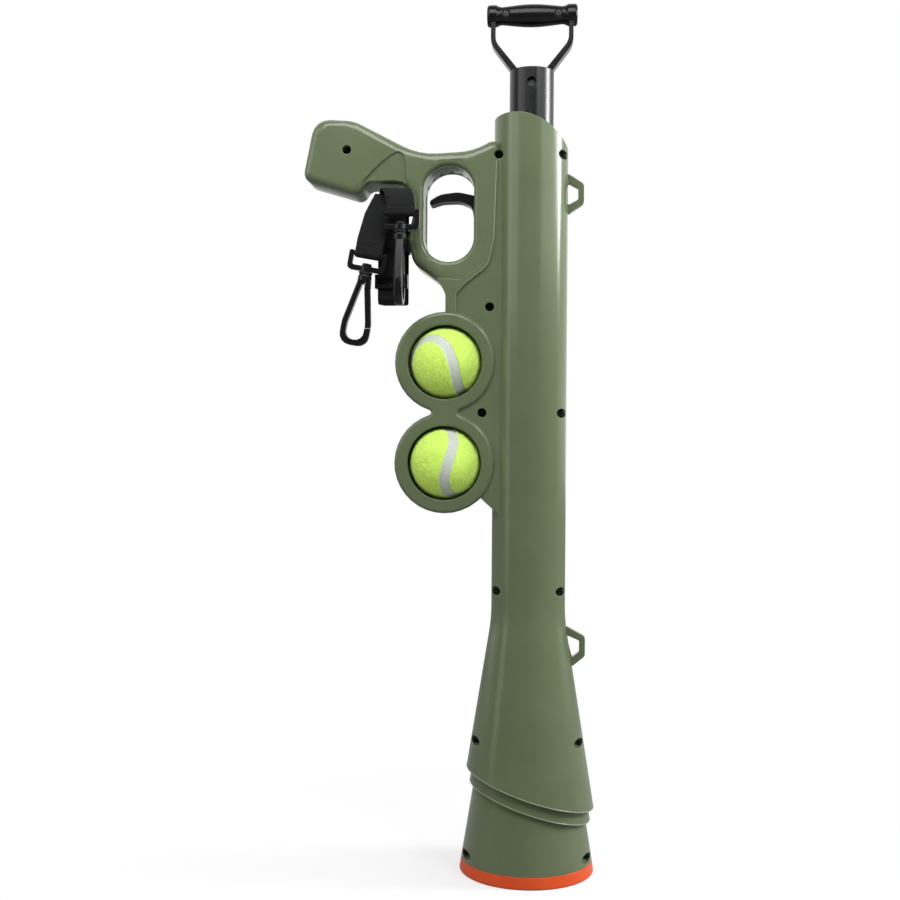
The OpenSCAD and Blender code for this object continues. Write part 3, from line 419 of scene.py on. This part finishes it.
def leaf(side):
    """Cutter for the leaf-shaped recess under the grip: half width grows as a power of the way from the tip.

    Across, a flat floor that sinks with the way lies between two slanting walls."""
    way = 0.4 + LEAF_L * np.linspace(0, 1, 40)**1.6
    half = (LEAF_HALF * (way / LEAF_HALF_AT)**LEAF_POWER)[:, None]
    span = np.linspace(-1, 1, 9)
    aside = np.concatenate([-half - LEAF_SLANT, half * span, half + LEAF_SLANT], 1)
    floor = np.broadcast_to((FACE_Y - LEAF_DEPTH - LEAF_SINK * way)[:, None], (len(way), len(span)))
    top = np.full((len(way), 1), FACE_Y + LEAF_DEPTH)
    place = LEAF_TIP + way[:, None, None] * LEAF_ALONG + aside[..., None] * LEAF_OVER
    deep = -side * np.concatenate([top, floor, top], 1)
    return lay("leaf", [MM * np.stack([place[..., 0], deep, place[..., 1]], -1)], wrap=(False, True), ends=True)


for node, material in FINISH_OF.items():
    smoothed(node, material, leaf(HALVES[node]) if node in HALVES else None)


def rounded_line(corners, steps=14):
    """Open line whose corners (columns: x, z, radius) are turned into arcs."""
    parts = [corners[:1, :2]]
    for a, b, c in zip(corners[:-2], corners[1:-1], corners[2:]):
        u, v = unit(b[:2] - a[:2]), unit(c[:2] - b[:2])
        turn = np.arctan2(u[0] * v[1] - u[1] * v[0], u @ v)
        f = np.linspace(0, abs(turn), steps)[:, None]
        normal = np.sign(turn) * np.array([-u[1], u[0]])
        start = b[:2] - b[2] * np.tan(abs(turn) / 2) * u
        parts.append(start + b[2] * (np.sin(f) * u + (1 - np.cos(f)) * normal))
    return np.concatenate(parts + [corners[-1:, :2]])


PANEL_CORNERS = np.array([[-29.15, 620.5, 0], [-31.1, 553.5, 30], [-36.0, 530.0, 18], [-55.0, 515.3, 12],
                          [-64.0, 506.0, 7], [-64.0, 488.5, 0]])
PANEL_R, PANEL_FLAT, PANEL_WALL, PANEL_PROUD = 0.9, 4.8, 2.8, 0.03
NECK_Z, NECK_EASE, NECK_SINK = 518.0, 8.0, 0.2


def panel_edge(side):
    """Crisp edge of the raised panel beside the barrel: a quarter round carried down the panel and its neck.

    The flat strip behind the round is a mesh of its own, because the round is coloured lighter as a painted
    highlight."""
    line = rounded_line(PANEL_CORNERS)
    ahead = unit(np.gradient(line, axis=0))
    inward = np.stack([ahead[:, 1], -ahead[:, 0]], 1)
    f = np.radians(np.linspace(0, 90, 7))
    inset = np.concatenate([[0.0], PANEL_R * (1 - np.cos(f)), [PANEL_FLAT, PANEL_FLAT + 0.4]])
    drop = np.concatenate([[PANEL_WALL], PANEL_R * (1 - np.sin(f)), [0.0, 0.4]])
    low = np.clip((NECK_Z - line[:, 1]) / NECK_EASE, 0, 1)
    place = line[:, None] + inset[None, :, None] * inward[:, None]
    deep = -side * (FACE_Y + PANEL_PROUD - NECK_SINK * low[:, None] - drop[None])
    strip = MM * np.stack([place[..., 0], deep, place[..., 1]], -1)
    return lay("panel_edge", [strip[:, len(f):]]), lay("panel_round", [strip[:, :len(f) + 1]])


for node, side in HALVES.items():
    flat, bend = panel_edge(side)
    put(node + "_panel_edge", flat, olive, node, False)
    # The round takes the lighter olive: a painted highlight along the panel's edge.
    put(node + "_panel_round", bend, olive_painted_highlight, node, False)


OPEN_X, OPEN_Z, OPEN_W, OPEN_H, OPEN_R = -71.4, 575.7, 45.0, 85.0, 22.05
LIP_R, LIP_IN, LIP_DEEP, LIP_STEPS = 4.0, 0.45, 9.0, 25


def opening_lip(side):
    """Smooth lip of the finger opening: a quarter round and a short wall carried round the long outline.

    It lies a little inside the facets that it covers, and both its rims are sunk in the shell."""
    f = np.radians(np.linspace(0, 90, 9))
    out = np.concatenate([[LIP_R + 0.2], LIP_R - LIP_IN - LIP_R * np.sin(f), [-LIP_IN, 1.2]])
    deep = np.concatenate([[0.25], LIP_R * (1 - np.cos(f)), [LIP_DEEP, LIP_DEEP + 0.4]])
    turn = np.radians(np.linspace(0, 90, LIP_STEPS) + 90 * np.arange(4)[:, None]).ravel()
    quarter = np.repeat(np.arange(4), LIP_STEPS)
    centre_x = OPEN_X + np.where(quarter % 3 == 0, 1, -1) * (OPEN_W / 2 - OPEN_R)
    centre_z = OPEN_Z + np.where(quarter < 2, 1, -1) * (OPEN_H / 2 - OPEN_R)
    x = centre_x + np.outer(OPEN_R + out, np.cos(turn))
    z = centre_z + np.outer(OPEN_R + out, np.sin(turn))
    y = np.broadcast_to(-side * (FACE_Y - deep)[:, None], x.shape)
    return lay("opening_lip", [MM * np.stack([x, y, z], -1)], wrap=(False, True))


for node, side in HALVES.items():
    put(node + "_opening_lip", opening_lip(side), olive, node, False)


BELL_SLOPE, SKIRT_SLANT, BEAD_R = 0.16, np.tan(np.radians(17.0)), 0.55
BELL_LIPS = (("_skirt_bead", 74.0, 67.8), ("_band_bead", 62.0, 62.9))


def lip_bead(side, level, reach):
    """Fine bead along a slanted lip of the bell: a small ring carried along the slanted cut of the cone.

    level is the cut's height on the axis, and reach the cone's radius at height 0."""
    a = side * np.linspace(0, -np.pi, 97)[:, None]
    f = np.linspace(0, 2 * np.pi, 10, endpoint=False)
    radius = (reach - BELL_SLOPE * level) / (1 - BELL_SLOPE * SKIRT_SLANT * np.cos(a))
    height = level - SKIRT_SLANT * radius * np.cos(a) + BEAD_R * (0.7 + np.sin(f))
    radius = radius + BEAD_R * (np.cos(f) - 0.75)
    ring = MM * np.stack([radius * np.cos(a), radius * np.sin(a), height], -1)
    return lay("lip_bead", [ring], wrap=(False, True))


for node, side in HALVES.items():
    for name, level, reach in BELL_LIPS:
        # Each bead takes the lighter olive: a painted highlight along the bell's lip.
        put(node + name, lip_bead(side, level, reach), olive_painted_highlight, node, False)


BOSS_R, BOSS_HALF, BOSS_RIM = 2.1, 3.75, 0.3


def boss(reach):
    """Pivot boss of a hook's gate: a softened rim turned about Y, its upper half drawn up to the shoulder."""
    turn = np.linspace(0, 2 * np.pi, 24, endpoint=False)
    flat, wall = BOSS_R - BOSS_RIM, BOSS_HALF - BOSS_RIM
    rim = np.array([[0, -BOSS_HALF], [flat, -BOSS_HALF], [BOSS_R, -wall], [BOSS_R, wall],
                    [flat, BOSS_HALF], [0, BOSS_HALF]])
    ring = np.stack([rim[:, :1] * np.cos(turn), np.broadcast_to(rim[:, 1:], (len(rim), len(turn))),
                     rim[:, :1] * np.sin(turn)], -1)
    return ring + (np.sin(turn) > 0)[:, None] * np.asarray(reach)


LEFT_PIVOT, RIGHT_PIVOT = np.array([-140.52, -28.0, 509.85]), np.array([-112.0, -33.5, 545.2])
for end, rim in (("left", boss((0.58, 0.0, 5.58)) + LEFT_PIVOT),
                 ("right", boss((-0.4, 0.0, 5.6))[..., [1, 0, 2]] + RIGHT_PIVOT)):
    name = "gate_boss_" + end
    put(name, lay(name, [MM * rim], wrap=(False, True)), hook_black, "hook_" + end, False)


# Springs

SEAT_Z, TUBE_Z, PIN_X, PIN_Z = 529.2, 275.925, -40.0, 579.6
MAIN_R, MAIN_WIRE, MAIN_TURNS, MAIN_GAP = 21.3, 1.0, 22, 1.1
COIL_R, COIL_WIRE, COIL_Y, COIL_TURNS, COIL_PITCH = 3.2, 0.45, 8.7, 3, 1.2


def helix(radius, low, high, turns):
    """Coil path round Z: the angle grows evenly with the height."""
    f = np.linspace(0, 1, int(turns * 40) + 1)
    turn = 2 * np.pi * turns * f
    return np.stack([radius * np.cos(turn), radius * np.sin(turn), low + (high - low) * f], 1)


def spring(name, path, radius, node):
    """Steel wire along a path, in place of a node."""
    mesh = lay(name, [MM * wire(path, radius)], wrap=(False, True), ends=True)
    return put(name, mesh, bright_steel, node)


main_coil = helix(MAIN_R, TUBE_Z + MAIN_GAP, SEAT_Z - MAIN_GAP, MAIN_TURNS)
coil = spring("main_spring_wire", main_coil, MAIN_WIRE, "main_spring")
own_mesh(coil)

turn = np.linspace(0, COIL_TURNS, 121)
round_pin = np.stack([PIN_X + COIL_R * np.cos(2 * np.pi * turn), COIL_Y + COIL_PITCH * turn,
                      PIN_Z - COIL_R * np.sin(2 * np.pi * turn)], 1)
leg_x, far_y = PIN_X + COIL_R, COIL_Y + COIL_TURNS * COIL_PITCH
upper_leg = [[leg_x, COIL_Y, PIN_Z + 13], [leg_x, COIL_Y, PIN_Z + 5]]
lower_leg = [[leg_x, far_y, PIN_Z - 5], [leg_x, far_y, PIN_Z - 15]]
spring("trigger_spring_wire", np.concatenate([upper_leg, round_pin, lower_leg]), COIL_WIRE, "trigger_spring")


# Carrying strap

WEB_W, WEB_T, PITCH = 24.0, 1.4, 2.4
HANK_X, HANK_TOP, HANK_LOW = -121.5, 586.7, 502.7
RUN_Y = np.array([-15.5, -7.2, -2.4, 2.4, 7.2, 12.0])
LOOP_R, TILT = 3.3, np.radians(10.0)
LEFT_BAR, LEFT_DOWN = np.array([-140.0, -28.0, 538.7]), np.array([-np.sin(TILT), 0, -np.cos(TILT)])
RIGHT_BAR, RIGHT_DOWN = np.array([-112.0, -38.0, 573.7]), np.array([0, 0, -1.0])
LEFT_SIDE, RIGHT_SIDE = np.array([np.cos(TILT), 0, -np.sin(TILT)]), np.array([1.0, 0, 0])
arc = np.linspace(0, np.pi, 25)
hank = np.array([HANK_X, 0, HANK_TOP])


def fold(side):
    """Centre line of one layer of the hank: straight runs joined by half circles, low and high in turn."""
    parts = [[[HANK_X, RUN_Y[0] + side, HANK_TOP]]]
    for k, (near, far) in enumerate(zip(RUN_Y[:-1], RUN_Y[1:])):
        low = k % 2 == 0
        radius = (far - near) / 2 - (side if low else -side)
        rise = radius * np.sin(arc)
        parts.append(np.stack([np.full_like(arc, HANK_X), (near + far) / 2 - radius * np.cos(arc),
                               HANK_LOW - rise if low else HANK_TOP + rise], 1))
    return np.concatenate(parts + [[[HANK_X, RUN_Y[-1] - side, HANK_TOP]]])


def end_loop(bar, down, lead, back):
    """Strap end: down in front of a bar, half round under it and up again behind."""
    front = np.array([0, -LOOP_R, 0])
    bend = bar + np.cos(arc)[:, None] * front + LOOP_R * np.sin(arc)[:, None] * down
    return np.concatenate([[bar + front - lead * down], bend, [bar - front - back * down]])


LEFT_LEAD = np.array([[-0.5, -18.2, 3.4], [-1.5, -20.7, 4.3], [-3, -23.2, 2.6], [-5.5, -25, -3],
                      [-11, -28, -15]])
RIGHT_LEAD = np.array([[0.3, -14.5, 5], [0.8, -16.6, 8.2], [2.5, -22, 9.8], [5, -30, 9], [7.5, -37, 5.5],
                       [9, -40.3, 1]])
left_end = np.concatenate([hank + LEFT_LEAD, end_loop(LEFT_BAR, LEFT_DOWN, 12, 13)])
right_end = np.concatenate([hank + RIGHT_LEAD, end_loop(RIGHT_BAR, RIGHT_DOWN, 9, 10)])
turn_back = np.stack([np.full_like(arc, HANK_X), RUN_Y[-1] + PITCH / 2 * np.cos(arc),
                      HANK_TOP + PITCH / 2 * np.sin(arc)], 1)
strap_line = np.concatenate([left_end[::-1], fold(-PITCH / 2), turn_back[1:-1], fold(PITCH / 2)[::-1],
                             right_end])


def evened(line, step, passes):
    """Line at equal steps, with its corners eased by a running mean of each three points."""
    run = np.concatenate([[0], np.cumsum(np.linalg.norm(np.diff(line, axis=0), axis=1))])
    keep = np.concatenate([[True], np.diff(run) > 1e-6])
    at = np.linspace(0, run[-1], round(run[-1] / step) + 1)
    line = np.stack([np.interp(at, run[keep], line[keep, k]) for k in range(3)], 1)
    for _ in range(passes):
        line[1:-1] = (line[:-2] + 2 * line[1:-1] + line[2:]) / 4
    return line, at


STRAP_STEP, STRAP_PASSES, TURN_AT, TURN_RUN = 0.45, 4, 36.0, 24.0
strap_path, strap_at = evened(strap_line, STRAP_STEP, STRAP_PASSES)
loop_share = np.clip((strap_at - TURN_AT) / TURN_RUN, 0, 1)[:, None]
strap_side = (1 - loop_share) * LEFT_SIDE + loop_share * RIGHT_SIDE
across = np.linspace(-1, 1, 13)
edge = np.sqrt(np.clip(1 - across**10, 0, 1))
band = np.concatenate([np.stack([across * WEB_W / 2, edge * WEB_T / 2], 1),
                       np.stack([across[-2:0:-1] * WEB_W / 2, -edge[-2:0:-1] * WEB_T / 2], 1)])
around = np.append(band[:, 0], band[0, 0]) / WEB_W + 0.5
strap_uv = np.stack(np.broadcast_arrays(around[None, :], strap_at[:, None] / WEB_W), -1)


WARP_ROWS, WEFT_ROWS = 18.0, 11.0


def webbing():
    """Black webbing: rows of warp threads along the strap, lifted in turn where a weft thread passes under."""
    finish = Finish("strap_webbing", Sheen_Weight=0.03, Sheen_Roughness=0.5, Specular_IOR_Level=0.25)
    spot = finish.node("SeparateXYZ", {"Vector": finish.place(uv=True)})
    row = finish.math("MULTIPLY", spot.outputs["X"], WARP_ROWS)
    cell = finish.math("FLOOR", row)
    rib = finish.math("ABSOLUTE", finish.math("SINE", finish.math("MULTIPLY", row, np.pi)))
    phase = finish.math("MULTIPLY", spot.outputs["Y"], 2 * np.pi * WEFT_ROWS)
    lift = finish.math("SINE", finish.math("ADD", phase, finish.math("MULTIPLY", cell, np.pi)))
    height = finish.math("MULTIPLY", rib, finish.span(lift, 0.35, 1.0, -1.0, 1.0))
    fuzz = finish.noise(finish.place(), 2600.0, 3.0, 0.7)
    # Base colour darker in the dips of the weave and lighter on the lifted threads: painted shade and painted
    # highlight.
    finish.into("Base Color", finish.ramp(height, (0.1, (0.0016, 0.0018, 0.002)),
                                          (0.9, (0.0075, 0.008, 0.0095))))
    finish.into("Roughness", finish.span(fuzz, 0.62, 0.9, 0.3, 0.7))
    finish.relief(finish.math("ADD", height, finish.math("MULTIPLY", fuzz, 0.25)), 0.00035, 0.9)
    return finish.material


strap_black = webbing()
strap_mesh = lay("strap_band_woven", [MM * carried(strap_path, band, strap_side)], wrap=(False, True),
                 uv=strap_uv, ends=True)
strap = put("strap_band_woven", strap_mesh, strap_black, "strap")


STITCH, STITCH_STEP, SEWN_W = [1.15, 0.38, 0.3], 3.0, 18.0


def stitches(centre, side, up, out, wide, high):
    """Box of sewn stitches: thread pads, each a flattened round, on the four sides of a rectangle."""
    u, v = np.meshgrid(np.linspace(0, np.pi, 7), np.linspace(0, 2 * np.pi, 10, endpoint=False), indexing="ij")
    pad = np.stack([np.cos(u), np.sin(u) * np.cos(v), np.sin(u) * np.sin(v)], -1) * STITCH
    level_row = np.arange(-wide / 2 + 1.5, wide / 2 - 0.5, STITCH_STEP)
    upright_row = np.arange(-high / 2 + 1.5, high / 2 - 0.5, STITCH_STEP)
    spots = [(x, y, False) for x in level_row for y in (-high / 2, high / 2)]
    spots += [(x, y, True) for y in upright_row for x in (-wide / 2, wide / 2)]
    grids = []
    for x, y, upright in spots:
        along, over = (up, side) if upright else (side, up)
        middle = centre + x * side + y * up
        grids.append(MM * (middle + pad[..., :1] * along + pad[..., 1:2] * over + pad[..., 2:] * out))
    return grids


thread = Finish("stitch_thread", Sheen_Weight=0.05, Specular_IOR_Level=0.3)
twist = thread.noise(thread.stretched(thread.place(), (1.0, 1.0, 3.0)), 2200.0, 2.0)
thread.into("Base Color", thread.ramp(twist, (0.3, (0.008, 0.008, 0.009)), (0.7, (0.022, 0.023, 0.025))))
thread.into("Roughness", thread.span(twist, 0.5, 0.8))
thread.relief(twist, 0.0001, 0.6)
front = np.array([0, -1.0, 0])
face = (LOOP_R + WEB_T / 2) * front
sewn = stitches(LEFT_BAR + face - 8.2 * LEFT_DOWN, LEFT_SIDE, -LEFT_DOWN, front, SEWN_W, 6.0)
sewn += stitches(RIGHT_BAR + face - 5.6 * RIGHT_DOWN, RIGHT_SIDE, -RIGHT_DOWN, front, SEWN_W, 4.5)
sewn_mesh = lay("strap_stitches", sewn, wrap=(False, True))
strap_stitches = put("strap_stitches", sewn_mesh, thread.material, "strap", False)

elastic = Finish("strap_elastic", Sheen_Weight=0.03, Specular_IOR_Level=0.25)
rows = elastic.node("SeparateXYZ", {"Vector": elastic.place()}).outputs["Z"]
wale = elastic.math("ABSOLUTE", elastic.math("SINE", elastic.math("MULTIPLY", rows, np.pi / 0.0011)))
# Base colour darker in the grooves between the wales and lighter on their crests: painted shade and painted
# highlight.
elastic.into("Base Color", elastic.ramp(wale, (0.1, (0.0025, 0.0025, 0.003)), (0.9, (0.009, 0.0095, 0.0105))))
elastic.into("Roughness", elastic.span(elastic.noise(elastic.place(), 1800.0), 0.6, 0.85))
elastic.relief(wale, 0.0003, 0.8)
smoothed("strap_band", elastic.material)


# Screw heads

SCREW_PAIRS = ((51.86, 16.5), (44.64, 116.0), (27.9, 246.625), (27.9, 626.7))
SCREWS = [(v * x, z) for x, z in SCREW_PAIRS for v in (-1, 1)]
SCREWS += [(27.9, 402.0), (-161.0, 631.5), (-35.03, 494.2), (-41.0, 402.0)]
GRIP_SCREWS = [(-23.0, 753.2), (23.0, 753.2)]
HEAD_R, HEAD_RISE, SHELL_SEAT_Y, GRIP_SEAT_Y = 3.2, 0.75, -10.15, -6.15
CROSS_REACH, CROSS_HALF, CROSS_DEEP = 0.56, 0.15, 0.68


def cross_heads(places, face):
    """Domed heads with a cross recess: height over a disc is a shallow dome less a smooth-edged cross."""
    rho, phi = np.meshgrid(np.linspace(0, 1, 30), np.linspace(0, 2 * np.pi, 72, endpoint=False), indexing="ij")
    x, y = rho * np.cos(phi), rho * np.sin(phi)

    def arm(a, b):
        left = CROSS_REACH - abs(a)
        return np.clip(left / 0.1, 0, 1) * np.clip((CROSS_HALF + 0.05 * left - abs(b)) / 0.07, 0, 1)

    height = HEAD_RISE * np.sqrt(np.clip(1 - rho**4, 0, 1)) - CROSS_DEEP * np.maximum(arm(x, y), arm(y, x))
    return [MM * np.stack([px + HEAD_R * x, face - height, pz + HEAD_R * y], -1) for px, pz in places]


for name, places, face, node in (("screw_crosses", SCREWS, SHELL_SEAT_Y, "shell_screws"),
                                 ("grip_screw_crosses", GRIP_SCREWS, GRIP_SEAT_Y, "grip_screws")):
    put(name, lay(name, cross_heads(places, face), wrap=(False, True)), black_steel, node, False)


# Stage, light and camera

def pale_floor():
    """Pale floor that keeps the shadow round the object and runs out into the white of the background."""
    finish = Finish("pale_floor", Roughness=0.8, Specular_IOR_Level=0.2)
    seen = finish.node("LightPath").outputs["Is Camera Ray"]
    finish.into("Base Color", finish.span(seen, 0.30, 0.74))
    reach = finish.node("VectorMath", {0: finish.place()}, operation="LENGTH").outputs["Value"]
    fade = finish.math("MULTIPLY", finish.span(reach, 0.55, 1.0, 0.08, 0.40), seen)
    white = finish.node("Emission", {"Color": (1.0, 1.0, 1.0, 1.0), "Strength": 1.0}).outputs["Emission"]
    mixed = finish.node("MixShader", {0: fade, 1: finish.shader.outputs["BSDF"], 2: white})
    finish.tree.links.new(mixed.outputs["Shader"], finish.tree.nodes["Material Output"].inputs["Surface"])
    return finish.material


FLOOR_HALF = 8
floor_corners = [(x * FLOOR_HALF, y * FLOOR_HALF, 0) for x, y in ((-1, -1), (1, -1), (1, 1), (-1, 1))]
floor_mesh = bpy.data.meshes.new("floor")
floor_mesh.from_pydata(floor_corners, [], [(0, 1, 2, 3)])
floor_mesh.materials.append(pale_floor())
floor = bpy.data.objects.new("floor", floor_mesh)
bpy.context.scene.collection.objects.link(floor)


def studio():
    """White to the camera; to the object, a white backdrop behind it and a dim room before it."""
    world = bpy.data.worlds.new("studio")
    world.use_nodes = True
    nodes_of, links = world.node_tree.nodes, world.node_tree.links
    parted = nodes_of.new("ShaderNodeSeparateXYZ")
    links.new(nodes_of.new("ShaderNodeTexCoord").outputs["Generated"], parted.inputs[0])
    behind = nodes_of.new("ShaderNodeMapRange")
    for key, value in (("From Min", -0.05), ("From Max", 0.35), ("To Min", 0.15), ("To Max", 1.0)):
        behind.inputs[key].default_value = value
    links.new(parted.outputs["Y"], behind.inputs["Value"])
    level = nodes_of.new("ShaderNodeMath")
    level.operation = "MAXIMUM"
    links.new(behind.outputs["Result"], level.inputs[0])
    links.new(nodes_of.new("ShaderNodeLightPath").outputs["Is Camera Ray"], level.inputs[1])
    white = nodes_of["Background"]
    white.inputs["Color"].default_value = (1.0, 1.0, 1.0, 1.0)
    links.new(level.outputs["Value"], white.inputs["Strength"])
    bpy.context.scene.world = world


studio()


def softbox(name, at, aim, width, height, watts, shape="RECTANGLE"):
    """Flat lamp at a point, turned towards another."""
    lamp = bpy.data.lights.new(name, "AREA")
    lamp.shape = shape
    lamp.size = width
    lamp.size_y = height
    lamp.energy = watts
    holder = bpy.data.objects.new(name, lamp)
    holder.location = at
    holder.visible_camera = False
    holder.rotation_euler = (Vector(aim) - Vector(at)).to_track_quat("-Z", "Y").to_euler()
    bpy.context.scene.collection.objects.link(holder)


softbox("oval_right", (1.33, 0.12, 1.04), (0, 0, 0.70), 0.56, 0.66, 22.0, "ELLIPSE")
softbox("box_right", (1.05, -0.70, 1.15), (0, 0, 0.58), 1.2, 1.0, 7.0)
softbox("box_key", (0.8, -1.0, 1.45), (-0.03, 0, 0.58), 0.5, 0.5, 6.0)
softbox("box_left", (-1.10, -0.80, 1.05), (0, 0, 0.58), 0.8, 0.9, 4.0)
softbox("strip_left", (-1.22, -0.45, 0.70), (0, 0, 0.35), 0.3, 1.2, 1.5)
softbox("box_top", (-0.15, -0.70, 1.30), (-0.15, 0, 0.64), 0.8, 0.6, 9.5)

EYE, AIM, ROLL = Vector((0.0152, -1.1232, 0.3742)), Vector((-0.0702, 0.0, 0.3693)), 0.0071
SENSOR, FOCAL = 36.0, 1.4088
camera = bpy.data.cameras.new("camera")
camera.sensor_width = SENSOR
camera.lens = SENSOR * FOCAL
viewer = bpy.data.objects.new("camera", camera)
viewer.location = EYE
look = (AIM - EYE).to_track_quat("-Z", "Y") @ Quaternion((0, 0, 1), ROLL)
viewer.rotation_euler = look.to_euler()
bpy.context.scene.collection.objects.link(viewer)
bpy.context.scene.camera = viewer
bpy.context.scene.view_settings.view_transform = "Standard"
